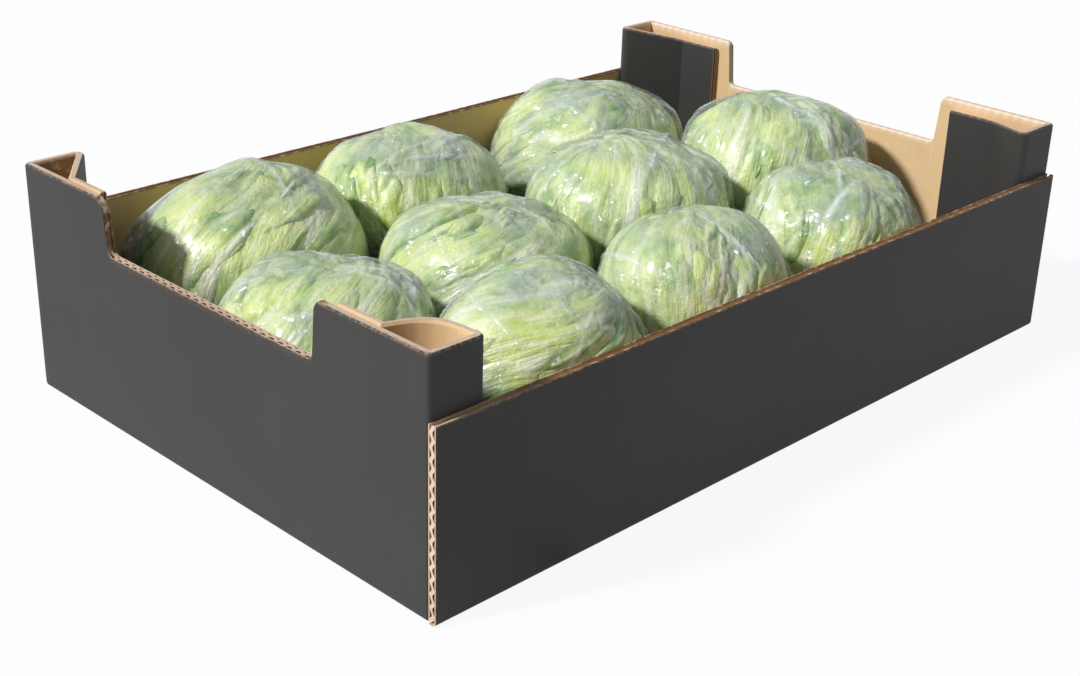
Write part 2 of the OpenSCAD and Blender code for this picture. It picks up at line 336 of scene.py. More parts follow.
def corrugated(s, panel):
    """One panel of board. panel(where) gives the printed grid, the kraft grid and the worn grid
    for the lengths in where; the flutes run along the grid's second way.

    A liner is a slab from its face inwards. The fluting is the middle plus a sine of the length,
    as high as the room between the liners. The knife has crushed it thick where a channel ends, and
    where the board is pinched thin there it fills all the room."""
    broad = np.unique(np.concatenate([s, np.arange(0, s[-1], PANEL_STEP)]))
    fine = np.linspace(0, s[-1], int(s[-1] / FLUTE_PITCH * POINTS_PER_FLUTE))
    printed, kraft, worn = panel(broad)
    inwards = (kraft - printed) * LINER / BOARD
    sheets = [
        (broad, worn, *slab(printed, printed + inwards), [PRINT, KRAFT, CUT]),
        (broad, worn, *slab(kraft, kraft - inwards), [KRAFT, KRAFT, CUT]),
    ]
    printed, kraft, worn = panel(fine)
    board = np.linalg.norm(kraft - printed, axis=-1, keepdims=True)
    across = (kraft - printed) / board
    thick = np.full((printed.shape[1], 1), PAPER)
    thick[[0, -1]] = CRUSHED
    thick = np.minimum(thick, board * (1 - 2 * LINER / BOARD))
    room = board * (1 - 2 * LINER / BOARD) - thick
    wave = np.sin(2 * np.pi * fine / FLUTE_PITCH)[:, None, None] * room / 2
    middle = (printed + kraft) / 2 + across * wave
    half = across * thick / 2
    sheets.append((fine, worn, *slab(middle - half, middle + half), [FLUTING, FLUTING, CUT]))
    return sheets


print("room for the fluting:", round(BOARD - 2 * LINER, 2), "mm")

# %% [markdown]
# ## Floor and long sides
# The flutes run along the tray here, so a section across it shows the waves, and the panel is
# that section carried from end to end. The long sides are cut flush with the tray's ends, which
# is where the open flutes show best, and only the far one stops a little short on the left. A very
# slight hollow keeps the big panels from looking like plate glass.

# %% Floor and long sides
WORN_BAND = 1.6
BOW_IN, BOW_WAVES = 0.9, 1.5
SIDE_SETBACK = 4.0
COLUMNS_ALONG, COLUMN_MARGIN = 15, 10.0


def across_tray(s, printed, kraft, left, right, bow):
    """A panel whose section is drawn in Y and Z and carried along X from left to right.

    The faces sink by bow times a slow wave along X, and not at all at the floor."""
    inner = np.linspace(left + COLUMN_MARGIN, right - COLUMN_MARGIN, COLUMNS_ALONG)
    x = np.concatenate([[left, left + WORN_BAND], inner, [right - WORN_BAND, right]])

    def panel(where):
        grids = []
        for line in (printed, kraft):
            y, z = at_lengths(where, s, line).T
            sink = bow * (z / SIDE_H)[:, None] * (0.5 + 0.5 * np.cos(x / right * np.pi * BOW_WAVES))
            y_in = y[:, None] - np.sign(y)[:, None] * sink
            grids.append(np.stack(np.broadcast_arrays(x, y_in, z[:, None]), axis=-1))
        z = grids[0][..., 2]
        ends = ((x == left) | (x == right))[None, :]
        worn = np.maximum(smooth_step(SIDE_H - WORN_BAND, SIDE_H, z), 0.7 * ends)
        return grids[0], grids[1], worn if bow else 0 * worn

    return panel


fold = arc((TRAY_W / 2 - FOLD_R, FOLD_R), FOLD_R, -90, 0)
side_top = [[TRAY_W / 2, SIDE_H - WORN_BAND], [TRAY_W / 2, SIDE_H]]
side_print = np.concatenate([[[INNER_Y, 0]], fold, side_top])
side_kraft = np.full_like(side_print, INNER_Y)
side_kraft[:, 1] = np.maximum(side_print[:, 1], BOARD)
side_s = lengths(side_print, side_kraft)
floor_y = np.array([-INNER_Y, INNER_Y])
floor_print = np.stack([floor_y, [0, 0]], axis=-1)
floor_kraft = np.stack([floor_y, [BOARD, BOARD]], axis=-1)
floor_s = lengths(floor_print, floor_kraft)

sheets = corrugated(floor_s, across_tray(floor_s, floor_print, floor_kraft, -INNER_X, INNER_X, 0))
for way, setback in ((-1, 0.0), (1, SIDE_SETBACK)):
    turned = np.array([way, 1])
    left = setback - TRAY_L / 2
    panel = across_tray(side_s, side_print * turned, side_kraft * turned, left, TRAY_L / 2, BOW_IN)
    sheets += corrugated(side_s, panel)
print("sheets in the floor and long sides:", len(sheets))

# %% [markdown]
# ## Ends and corner posts
# In the ends and posts the flutes stand upright, so a plan view shows the waves and the panel is
# that plan carried up to the panel's top. The top is not level: an end has a hand cut-out with
# rounded corners, one of them worn soft. A post starts as the flap behind the long side, turns
# back on itself, crosses the corner as a slanting wall and is glued flat to the end. The near
# left one has buckled into the tray. The die pinches these tops thin, which closes the flutes, and
# only the floor of the left cut-out keeps them open.

# %% Upright panels
CUT_W, CUT_D, CUT_LEAN = 200.0, 36.0, 3.0
CUT_FLOOR_R, CUT_TOP_R, WORN_TOP_R = 5.0, 4.0, 11.0
FRAYED_BAND = 6.0
RISE = np.append(np.linspace(0, 1, 5)[1:-1], 1 - np.array([FRAYED_BAND, WORN_BAND, 0]) / END_H)
PINCHED = 2.2
FLAP_FOOT = 1.0


def cut_out(top_r):
    """Half of a cut-out's outline, from its floor to the panel's top, as across and height."""
    lean = np.arctan2(CUT_LEAN, CUT_D)
    low = (CUT_W / 2 + CUT_FLOOR_R * (np.tan(lean) - 1 / np.cos(lean)), END_H - CUT_D + CUT_FLOOR_R)
    high = (CUT_W / 2 + (CUT_D - top_r) * np.tan(lean) + top_r / np.cos(lean), END_H - top_r)
    tilt = np.degrees(lean)
    return np.concatenate([
        arc(low, CUT_FLOOR_R, -90, -tilt),
        arc(high, top_r, 180 - tilt, 90),
    ])


def upright(s, printed, kraft, top, gap, foot, pinch):
    """A panel whose plan is drawn in X and Y and carried up to the height in top.

    With foot, the printed face also turns under along a fold at the floor. At the very top, gap
    leans the kraft face away from whatever it is glued to, and pinch brings both faces together."""
    turn = np.radians(np.linspace(0, 90, 6))
    foot_z, foot_in = np.array([FLAP_FOOT]), np.array([0.0])
    if foot:
        foot_z = np.concatenate([[0], FOLD_R * (1 - np.cos(turn))])
        foot_in = np.concatenate([[BOARD], FOLD_R * (1 - np.sin(turn))]) / BOARD
    inset = np.concatenate([foot_in, np.zeros(len(RISE))])[:, None]

    def panel(where):
        p = at_lengths(where, s, printed)[:, None]
        k = at_lengths(where, s, kraft)[:, None]
        height = at_lengths(where, s, top)
        feet = np.broadcast_to(foot_z, (len(where), len(foot_z)))
        above = foot_z[-1] + RISE * (height - foot_z[-1])
        z = np.concatenate([feet, above], axis=1)[..., None]
        worn = smooth_step(height - WORN_BAND, height, z[..., 0])
        at_top = worn[..., None] > 0.5
        nip = at_lengths(where, s, pinch)[:, None] / 2 * at_top
        lean = at_lengths(where, s, gap)[:, None] * at_top + nip
        print_face = np.concatenate([p + (k - p) * (inset + nip / BOARD), z], axis=-1)
        kraft_face = np.concatenate([k + (p - k) / BOARD * lean, z], axis=-1)
        return print_face, kraft_face, worn

    return panel


print("rows up a panel:", len(RISE))

# %% Ends
SQUARE_PAST_CUT = 30.0


def end_panel(way, far_r, open_from):
    """The sheets of one end: a straight panel with a fold at each side, way -1 on the left. Its
    top is pinched, and from the height open_from down less and less."""
    straight = INNER_Y - FOLD_R
    near, far = cut_out(CUT_TOP_R), cut_out(far_r)
    y = np.concatenate([[-straight], -near[::-1, 0], far[:, 0], [straight]])
    z = np.concatenate([[END_H], near[::-1, 1], far[:, 1], [END_H]])
    square = CUT_W / 2 + SQUARE_PAST_CUT
    spread = (INNER_Y - BOARD - square) / (straight - square)
    kraft_y = np.sign(y) * (np.minimum(np.abs(y), square) + spread * np.maximum(np.abs(y) - square, 0))
    corner = arc((TRAY_L / 2 - FOLD_R, straight), FOLD_R, 0, 90)
    near_corner = corner[::-1] * [1, -1]
    between = np.stack([np.full_like(y, TRAY_L / 2), y], axis=-1)
    printed = np.concatenate([near_corner[:-1], between, corner[1:]])
    kraft = np.full_like(printed, INNER_X)
    ones = np.ones(len(corner) - 1)
    kraft[:, 1] = np.concatenate([ones * (BOARD - INNER_Y), kraft_y, ones * (INNER_Y - BOARD)])
    top = np.concatenate([ones * END_H, z, ones * END_H])
    s = lengths(printed, kraft)
    side = np.array([way, 1])
    pinch = PINCHED * smooth_step(open_from - CUT_D, open_from, top)
    return corrugated(s, upright(s, printed * side, kraft * side, top, np.zeros_like(top), True, pinch))


sheets += end_panel(1, CUT_TOP_R, END_H - CUT_D)
sheets += end_panel(-1, WORN_TOP_R, END_H)
print("sheets with the ends:", len(sheets))

# %% Corner posts
SIDE_FLAP, POST_REACH, END_FLAP = 40.0, 46.0, 34.0
FLAP_DROP, POST_BOW, GLUE_GAP = 7.0, 11.0, 1.0
PIVOT = np.array([TRAY_L / 2 - SIDE_FLAP + BOARD, INNER_Y - BOARD])
KNEE = np.array([INNER_X - BOARD, INNER_Y - POST_REACH])
FLAP_EDGE_Y = KNEE[1] - END_FLAP
WALL_RUN = np.sqrt(((KNEE - PIVOT) ** 2).sum() - BOARD**2)
WALL_ANGLE = np.arctan2(*(KNEE - PIVOT)[::-1]) + np.arctan2(BOARD, WALL_RUN)
WALL_ALONG = np.array([np.cos(WALL_ANGLE), np.sin(WALL_ANGLE)])
WALL_INWARD = np.array([np.sin(WALL_ANGLE), -np.cos(WALL_ANGLE)])
WALL_FAR = PIVOT + WALL_ALONG * (INNER_X - PIVOT[0]) / WALL_ALONG[0]
GLUE = 0.08


def post(way_x, way_y, drop=0.0, bow=0.0):
    """The sheets of one post, drawn in the corner where X and Y are positive, then mirrored.

    Its plan goes from the end flap over the knee along the slanting wall, turns round the pivot
    and runs back along the long side. bow adds half a sine to the wall."""
    share = np.linspace(1, 0, 17)[:, None]
    swell = WALL_INWARD * bow * np.sin(np.pi * share)
    start = PIVOT + BOARD * WALL_INWARD
    turn = arc(PIVOT, BOARD, 270 + np.degrees(WALL_ANGLE), 90)[1:]
    glued = INNER_X - GLUE
    printed = np.concatenate([
        [[KNEE[0], FLAP_EDGE_Y]], start + (KNEE - start) * share + swell, turn,
        [[TRAY_L / 2 - FOLD_R, INNER_Y]],
    ])
    kraft = np.concatenate([
        [[glued, FLAP_EDGE_Y]], PIVOT + (WALL_FAR - PIVOT) * share * [glued / INNER_X, 1] + swell,
        np.repeat(PIVOT[None], len(turn), axis=0), [[INNER_X, PIVOT[1]]],
    ])
    level = np.full(len(turn) + 1, END_H)
    top = np.concatenate([[END_H - drop], END_H - drop * share[:, 0], level])
    gap = np.concatenate([[GLUE_GAP], GLUE_GAP * share[:, 0] ** 4, 0 * level])
    s = lengths(printed, kraft)
    mirror = np.array([way_x, way_y])
    pinch = np.full_like(top, PINCHED)
    return corrugated(s, upright(s, printed * mirror, kraft * mirror, top, gap, False, pinch))


sheets += post(1, 1, drop=FLAP_DROP)
sheets += post(1, -1, drop=FLAP_DROP)
sheets += post(-1, 1)
sheets += post(-1, -1, bow=POST_BOW)
print("sheets with the posts:", len(sheets))

# %% All sheets as one mesh


def join_sheets(sheets):
    """All sheets as one mesh: points, quads, finish of each quad, flat coordinates and wear."""
    points, quads, finish, flat, worn = [], [], [], [], []
    count = 0
    for where, wear, p, q, side, finishes in sheets:
        rows, columns = wear.shape
        points.append(p)
        quads.append(q + count)
        finish.append(np.array(finishes)[side])
        length = np.repeat(where, columns)
        flat.append(np.tile(np.stack([length, p[:rows * columns, 2]], axis=-1), (2, 1)))
        worn.append(np.tile(wear.ravel(), 2))
        count += len(p)
    return [np.concatenate(x) for x in (points, quads, finish, flat, worn)]


points, quads, finish, flat, worn = join_sheets(sheets)
print("points in the tray:", len(points))

# %% [markdown]
# ## Wear of the tray
# Cut edges pick up dirt and lose their paper. Painting a mask by hand is the usual way. Here the
# places are few and plain, so each is a test on a point's own coordinates: the tops of the long
# sides past their bare first stretch carry dirt, the sides of the left cut-out and the far left
# corner get the same dark brown as painted shade, and the paper along the top of the right end is
# frayed.

# %% Wear and the finished tray
BARE_STRETCH = 75.0
CUT_OUT_SHADE_REACH, CORNER_SHADE = 8.0, 0.7
SHARP_EDGE = 32.0


def soil_and_shade_share(points):
    """How dark each point is made: the largest of three tests on its place, each from 0 to 1.

    Dirt on the long sides' tops, and painted shade on the sides of the left cut-out and in the far
    left corner.
    """
    x, y, z = points.T
    on_side_top = (np.abs(y) > INNER_Y - BOW_IN) & (z > SIDE_H - 0.1)
    past_bare = smooth_step(0.4 * BARE_STRETCH, BARE_STRETCH, x + TRAY_L / 2)
    # Painted shade on the sides of the left cut-out.
    in_cut_out = (x < 1 - INNER_X) & (np.abs(np.abs(y) - CUT_W / 2 - CUT_LEAN) < CUT_OUT_SHADE_REACH)
    in_cut_out &= z > END_H - CUT_D + 2
    # Painted shade in the hollow of the far left corner post.
    in_corner = (x < SIDE_FLAP - TRAY_L / 2) & (y > INNER_Y - POST_REACH) & (z < END_H - 1)
    return np.max([on_side_top * past_bare, in_cut_out, CORNER_SHADE * in_corner], axis=0)


def frayed_share(points):
    """How frayed each point is: a smooth step up to the top edge, on the right end's kraft face."""
    x, y, z = points.T
    below_top = np.where(np.abs(y) < CUT_W / 2, END_H - CUT_D, END_H) - z
    return (x > INNER_X - PINCHED) * smooth_step(0.7 * FRAYED_BAND, WORN_BAND, below_top)


marks = {"worn": worn, "soil_and_shade": soil_and_shade_share(points), "frayed": frayed_share(points)}
tray = make_piece("corrugated_tray", points, [quads], BOARD_FINISHES, finish, flat, marks)
tray.data.set_sharp_from_angle(angle=np.radians(SHARP_EDGE))
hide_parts("tray")
print("triangles in the tray:", 2 * len(quads))

# %% [markdown]
# ## The form of a wrapped head
# A head is a slightly lumpy ball that presses against the floor, the walls and its neighbours.
# Cloth or rigid-body simulation could settle the heads, but their places are already fixed by
# the CAD model. So the same rule is used as there: a radius in every direction, eased down
# smoothly wherever a flat face or the plane midway to a neighbour would be passed.

# %% Places of the heads
HEAD_D, HEAD_H, BASE_SINK, REST_GAP = 148.0, 146.0, 7.0, 0.3
LEAF_LAP, LEAF_SWEEP, EDGE_WAVE, EDGE_WAVES = 2.2, 70.0, 7.0, 2.5
DOME_POWER, LOBE, LUMP_HIGH, LUMP_TURN = 2.5, 0.022, 1.0, 330.0
FILM_ROOM, PRESS_POWER, EAR_SPREAD = 0.3, 14, 26.0
LEAF_TOPS = np.array([37.0, 69.0, 21.0, 53.0, 37.0])
# Place along X and Y as shares of the tray's inside, extra width and height, turn of the leaves,
# and the loose ear of film: bearing, elevation and rise
HEADS = np.array([
    [-0.62, 0.57, 13, 5, 10, 135, 5, 9],
    [-0.14, 0.62, 4, 0, 130, 0, 40, 0],
    [0.48, 0.59, 12, 3, 250, -45, 25, 6],
    [0.73, -0.05, 7, 7, 60, 140, 35, 5],
    [-0.77, -0.10, -7, -9, 200, -50, 25, 8],
    [-0.30, -0.07, 9, -7, 310, 0, 40, 0],
    [0.20, -0.01, 14, 5, 90, -45, 20, 4],
    [-0.52, -0.65, -10, 0, 20, -30, 10, 5],
    [-0.05, -0.64, -11, 0, 165, -45, 0, 6],
    [0.45, -0.64, -9, -1, 285, 0, 40, 0],
])
HALF_D = (HEAD_D + HEADS[:, 2]) / 2
HALF_H = (HEAD_H + HEADS[:, 3]) / 2
TURN = HEADS[:, 4]
MIDDLE_Z = BOARD + REST_GAP + HALF_H - BASE_SINK
CENTRES = np.stack([HEADS[:, 0] * INNER_X, HEADS[:, 1] * INNER_Y, MIDDLE_Z], axis=-1)
print("widest head:", 2 * HALF_D.max(), "mm")

# %% Pressing planes


def pressing_planes(i):
    """Directions and distances, from the middle of head i, of every flat face that stops it."""
    c = CENTRES[i]
    end_stop = INNER_X - BOARD * (abs(c[1]) + HALF_D[i] > FLAP_EDGE_Y)
    side_stop = INNER_Y - BOARD * (abs(c[0]) + HALF_D[i] > TRAY_L / 2 - SIDE_FLAP)
    normals = [[s, 0, 0] for s in (-1, 1)] + [[0, s, 0] for s in (-1, 1)]
    away = [end_stop - REST_GAP - s * c[0] for s in (-1, 1)]
    away += [side_stop - REST_GAP - s * c[1] for s in (-1, 1)]
    for sx in (-1, 1):
        for sy in (-1, 1):
            bow = POST_BOW if sx < 0 and sy < 0 else 0.0
            to_corner = np.array([-sx * WALL_INWARD[0], -sy * WALL_INWARD[1], 0])
            on_wall = np.append((KNEE + WALL_INWARD * bow) * [sx, sy], 0)
            normals.append(to_corner)
            away.append(to_corner @ (on_wall - c * [1, 1, 0]) - REST_GAP)
    for j in np.flatnonzero(np.arange(len(HEADS)) != i):
        apart = CENTRES[j] - c
        gap = np.linalg.norm(apart)
        normals.append(apart / gap)
        away.append(gap * HALF_D[i] / (HALF_D[i] + HALF_D[j]) - REST_GAP / 2)
    return np.array(normals, float), np.array(away, float)


PLANES = [pressing_planes(i) for i in range(len(HEADS))]
print("planes round a head:", len(PLANES[0][1]))

# %% Radius of a head


def direction(polar, bearing):
    """Unit vector that is polar degrees down from the crown, at a bearing round from +X."""
    p, b = np.radians(polar), np.radians(bearing)
    return np.stack([np.sin(p) * np.cos(b), np.sin(p) * np.sin(b), np.cos(p)], axis=-1)


def pressed(i, r, e):
    """Radius r along e, eased down so that it passes no plane, and cut off flat at the floor.

    The easing adds one high inverse power of r and of the distance to each plane along e."""
    normals, away = PLANES[i]
    push = (np.maximum(0, e @ normals.T / away) ** PRESS_POWER).sum(-1)
    eased = (r ** -float(PRESS_POWER) + push) ** (-1 / PRESS_POWER)
    return np.minimum(eased, (HALF_H[i] - BASE_SINK) / np.maximum(-e[..., 2], 1e-6))


def plain_radius(i, e, bearing):
    """A squarish spheroid along e, with a two-lobed and a three-lobed wave and crossing lumps."""
    b, turn = np.radians(bearing), np.radians(TURN[i])
    flat = np.hypot(e[..., 0], e[..., 1])
    wave = 1 + LOBE * np.sin(2 * b + 3 * turn) * flat + LOBE / 2 * np.sin(3 * b - turn)
    squared = (flat / HALF_D[i]) ** DOME_POWER + (np.abs(e[..., 2]) / HALF_H[i]) ** DOME_POWER
    lumps = np.sin(np.radians(LUMP_TURN) * e + np.array([2, 5, 3]) * turn).sum(-1)
    return wave / squared ** (1 / DOME_POWER) + LUMP_HIGH * lumps


def swept(i, polar):
    """How far the leaf edges of head i have turned at this polar angle, in degrees."""
    wave = EDGE_WAVE * np.sin(np.radians(EDGE_WAVES * polar + TURN[i]))
    return TURN[i] + LEAF_SWEEP * (1 - polar / 180) + wave


print("crown of the first head:", plain_radius(0, direction(0, 0), 0).round(1), "mm up")

# %% [markdown]
# ## Leaves
# An iceberg head is a ball of leaves that lap round each other. Each leaf is thick and white at
# its foot, a few broad ribs fan out from there, and the blade between them crumples. Sculpting
# would give one good head, but ten different ones are needed. So a leaf is one grid: across it
# runs from the side that is tucked under its neighbour to its free edge, and along it from foot
# to tip. Ribs, crumples and the curly edge are formulas on those two ways. Five wide leaves,
# two narrow outer ones and three inner ones over a core make a head. Packed heads don't stand
# straight, so each one's leaves lean over to their own side, most of them to the back, which brings
# the white ribs to the front.

# %% Lean and curls of the leaves
# Waves of a curly edge: how far each wanders in degrees, and how fast along the edge
TIP_CURLS = ((2.6, 9), (1.9, 23), (1.1, 41))
SIDE_CURLS = ((2.2, 11), (1.5, 29))
TIPPED = 32.0
TIP_BEARINGS = 44 + 70 * np.sin(2.4 * np.arange(len(HEADS)))


def tipped(i, e):
    """Direction e of an upright head as it lies in head i, which leans over to its tip bearing.

    It is a turn round the level axis at a right angle to that bearing."""
    axis = direction(90, TIP_BEARINGS[i] + 90)
    turn = np.radians(TIPPED)
    along = (e @ axis)[..., None] * axis
    return e * np.cos(turn) + np.cross(axis, e) * np.sin(turn) + along * (1 - np.cos(turn))


def curls(waves, along, starts):
    """Degrees that a curly edge wanders: a sum of sines, each with its own height, pace and start."""
    return sum(high * np.sin(pace * along + start) for (high, pace), start in zip(waves, starts))


print("the heads lean over by", TIPPED, "degrees")

# %% Ribs and crumples
RIBS_ACROSS = 4.5
BROAD_CRUMPLE, FINE_CRUMPLE = (38.0, 6.4), (15.0, 1.6)


def fan_ribs(fan, out, b, wander, rng):
    """Height of the ribs: a bell for the middle rib and a row of bells on the fan's lines.

    The bells narrow and fade from foot to tip, and each side rib has its own strength."""
    middle = bell(out + 0.014 * wander, 0.075 * (1 - b) ** 1.1 + 0.012)
    line = fan * RIBS_ACROSS + 0.28 * wander
    strength = rng.uniform(0.1, 1.1, 64)[np.round(line).astype(int) % 64]
    bells = bell(line - np.round(line), 0.19 + 0.2 * (1 - b) ** 2)
    fade = np.clip(1.35 - b, 0, 1)
    return np.clip(np.maximum(middle, strength * bells * fade), 0, 1)


def crumples(where, seed):
    """Depth of a crumpled blade, as a share of its deepest and in mm.

    Bulges meet in sharp valleys: the depth falls off in a straight line with the size of a smooth
    ripple, so it is greatest where the ripple passes through zero. Two ripples are added."""
    share, depth = 0, 0
    for k, (wavelength, deepest) in enumerate((BROAD_CRUMPLE, FINE_CRUMPLE)):
        valley = np.clip(1 - np.abs(ripples(where, wavelength, seed + k)) / 1.25, 0, 1)
        depth = depth + deepest * valley
        share = share + (0.62, 0.38)[k] * valley
    return share, depth


print("deepest crumple:", BROAD_CRUMPLE[1] + FINE_CRUMPLE[1], "mm")

# %% One leaf
TUCK = 0.22
MIDRIB = 0.45
LAP_AT = [-TUCK, 0.0, 0.07, 0.36, 0.70, 1.0]
LAP_DEPTH = [1.25, 1.1, 1.0, 0.5, 0.16, 0.0]
TIP_DROP, TIP_ROUND = 26.0, 2.2
FLUTTER, FLUTTER_REACH = 1.5, 9.0
EDGE_TURN, TURN_REACH = 0.9, 1.1
SETTLE, SETTLE_REACH = 1.8, 6.0
RIM_REACH = 2.4
RIB_LEAN, RIB_WANDER = 0.5, 34.0
PALE_PATCH, TONE_PATCH = 40.0, 48.0
CROWD = 1.4


def leaf_sheet(i, leaf, count, tops, turn, layer, loose, foot, grid, seed):
    """One leaf of head i, as points and as the values its finish reads.

    The fan's lines are the way across divided by a width that grows towards the tip, and they lean
    to one side towards the tip. Crumples are drawn out along those lines and flattened on the ribs
    and at the foot. Near the free edge and the tip the leaf flutters and turns in by bell curves of
    the distance."""
    rng = np.random.default_rng(seed)
    across = 1 - (1 + TUCK) * (1 - np.linspace(0, 1, grid[0])) ** CROWD
    along = 1 - (1 - np.linspace(0, 1, grid[1])) ** CROWD
    a, b = np.meshgrid(across, along, indexing="ij")
    out = np.abs(a - MIDRIB)
    top = tops[leaf % len(tops)]
    frill = rng.uniform(0, 2 * np.pi, 6)
    tip_wave = curls(TIP_CURLS, a, frill[:3])
    side_wave = a**6 * curls(SIDE_CURLS, b, frill[3:5])
    polar = np.maximum(foot + (top + TIP_DROP * out**TIP_ROUND + tip_wave - foot) * b, 1.0)
    bearing = turn + 360 / count * (leaf + a) + swept(i, polar) + side_wave - 2.4 * a**6
    e = tipped(i, direction(polar, bearing))
    lies_at = np.degrees(np.arctan2(e[..., 1], e[..., 0]))
    ball = e * HALF_D[i]
    length = np.radians(foot - top) * HALF_D[i]
    width = np.radians(360 / count) * HALF_D[i]

    wander = ripples(ball, RIB_WANDER, seed + 1)
    leaning = a - MIDRIB + RIB_LEAN * rng.uniform(-1, 1) * b**2
    fan = leaning / (0.45 + 0.55 * b) * 5 / count
    rib = fan_ribs(fan, np.abs(leaning), b, wander, rng)
    pale = np.clip(1.45 - 1.55 * b + 0.25 * ripples(ball, PALE_PATCH, seed + 5), 0, 1) ** 1.2
    drawn_out = np.stack([fan * 75, b * length * 0.5, np.full_like(a, seed % 50)], axis=-1)
    sunk, depth = crumples(drawn_out, seed + 2)
    slack = loose * (1 - 0.75 * rib) * (0.5 + 0.5 * smooth_step(0.15, 0.5, b))

    to_side = (1 - a) * width * np.sin(np.radians(polar))
    to_edge = np.minimum(to_side, (1 - b) * length)
    flutter = (0.5 + 0.5 * np.sin(17 * a + 13 * b + frill[5])) * bell(to_edge, FLUTTER_REACH)
    share = np.interp(a, LAP_AT, LAP_DEPTH) * np.sqrt(np.sin(np.radians(polar))) + layer
    r = pressed(i, plain_radius(i, e, lies_at) - LEAF_LAP * share, e) - FILM_ROOM
    r = r - depth * slack - FLUTTER * flutter
    r = r - EDGE_TURN * bell(to_edge, TURN_REACH) - SETTLE * bell(to_edge, SETTLE_REACH)
    tone = 0.52 + 0.32 * ripples(ball, TONE_PATCH, seed + 4) + 0.7 * (b - 0.5) + rng.uniform(-0.25, 0.25)
    values = {
        "rib": np.maximum(rib * (0.65 + 0.45 * pale), 0.16 * pale),
        # sunk sets painted shade in the folds and a painted highlight on the bulges in the leaf finish.
        "sunk": sunk * slack,
        "tone": np.clip(tone, 0, 1),
        "rim": bell(to_edge, RIM_REACH),
        # Painted shade: the leaf goes dark low on the head, between its neighbours.
        "low": smooth_step(56, 98, np.degrees(np.arccos(e[..., 2]))),
        "grain": np.stack([8 * fan, 4 * b, np.full_like(a, seed % 97)], axis=-1),
    }
    return CENTRES[i] + e * r[..., None], values


print("share of a leaf that is tucked in:", TUCK)

# %% The core


def heart(i, grid, seed):
    """The core under the leaves: the pressed ball, a lap deeper, with the same crumples."""
    polar, bearing = np.meshgrid(
        np.linspace(0.5, 172, grid[0]), np.linspace(0, 360, grid[1], endpoint=False), indexing="ij"
    )
    e = direction(polar, bearing)
    sunk, depth = crumples(e * HALF_D[i], seed)
    share = np.sqrt(np.sin(np.radians(polar))) + 1.0
    r = pressed(i, plain_radius(i, e, bearing) - LEAF_LAP * share, e) - FILM_ROOM - 0.4 * depth
    values = {
        "rib": np.full(polar.shape, 0.1),
        "sunk": sunk,
        "tone": np.full(polar.shape, 0.5),
        "rim": np.zeros(polar.shape),
        # Painted shade low on the core, as on the leaves.
        "low": smooth_step(62, 100, polar),
        "grain": 6 * e,
    }
    return CENTRES[i] + e * r[..., None], values


print("leaves and core ready")

# %% [markdown]
# ## Leaf finish
# Leaf flesh is pale and a little waxy: nearly white in the ribs and at the foot, yellow-green on
# the blade and pale again along the curly edge. On top of that a deeper green in the folds and low
# on the head is painted shade, and pale green on the bulges is a painted highlight. A picture of a
# leaf would repeat itself on ten heads. So the mesh carries how much of each colour a point has,
# and fine noise breaks it up into veins and cells. A touch of light passing through the flesh
# keeps the shadows from going grey, and a thin clear coat is the gloss of the film where it clings
# to the leaf.

# %% Leaf finish


def leaf_finish():
    """Blend from yellow-green to mid green by tone, to dark green in the folds as painted shade, to
    pale green on the bulges as a painted highlight and to white on the ribs, broken up by noise that
    is drawn out along the ribs. Low on the head, between its neighbours, all goes to a dark
    blue-green, which is painted shade."""
    material, tree, shader, place = new_finish("lettuce_leaf")
    patch = noise(tree, place, 45.0, 4.0, 0.6)
    cells = noise(tree, place, 260.0, 3.0, 0.6)
    grain = noise(tree, attribute(tree, "grain", "Vector"), 1.0, 2.5, 0.55)
    veins = noise(tree, attribute(tree, "grain", "Vector"), 2.8, 3.0, 0.6)
    sunk = attribute(tree, "sunk")
    tone = math(tree, "ADD", attribute(tree, "tone"), math(tree, "MULTIPLY_ADD", patch, 1.0, -0.8))
    tone = math(tree, "MULTIPLY_ADD", veins, 0.7, tone)
    blade = blend(tree, ramp(tree, tone, 0.2, 0.8), srgb("c3d663"), srgb("5f8e37"))
    # Painted shade: dark green in the crumple valleys, broken up by the patch noise.
    folds = math(tree, "MULTIPLY_ADD", patch, -0.7, math(tree, "ADD", sunk, 0.35))
    blade = blend(tree, ramp(tree, folds, 0.32, 0.80, 0.0, 0.95), blade, srgb("446a24"))
    # Painted highlight: pale green on the crumple bulges.
    painted_bulge_highlight = math(tree, "MULTIPLY", ramp(tree, sunk, 0.35, 0.10), ramp(tree, patch, 0.4, 0.6, 0.2, 0.8))
    pale = math(tree, "MAXIMUM", painted_bulge_highlight, math(tree, "MULTIPLY", attribute(tree, "rim"), 0.5))
    blade = blend(tree, pale, blade, srgb("e4eea6"))
    rib = math(tree, "MULTIPLY", attribute(tree, "rib"), ramp(tree, grain, 0.36, 0.58, 0.55, 1.15))
    flesh = blend(tree, rib, blade, srgb("f3f4dc"))
    # Painted shade: dark blue-green low on the head, between its neighbours.
    low = math(tree, "MULTIPLY", attribute(tree, "low"), 0.85)
    tree.links.new(blend(tree, low, flesh, srgb("375a40")), shader.inputs["Base Color"])
    relief = math(tree, "MULTIPLY_ADD", cells, 0.5, math(tree, "ADD", grain, patch))
    relief = math(tree, "MULTIPLY_ADD", veins, 0.6, relief)
    bump(tree, shader, relief, 0.003, 0.6)
    shader.inputs["Roughness"].default_value = 0.45
    shader.inputs["Coat Weight"].default_value = 0.4
    shader.inputs["Coat Roughness"].default_value = 0.19
    shader.inputs["Subsurface Weight"].default_value = 0.15
    shader.inputs["Subsurface Radius"].default_value = (0.004, 0.006, 0.002)
    shader.inputs["Subsurface Scale"].default_value = 1.0
    return material


LEAF = leaf_finish()
print("leaf finish:", LEAF.name)

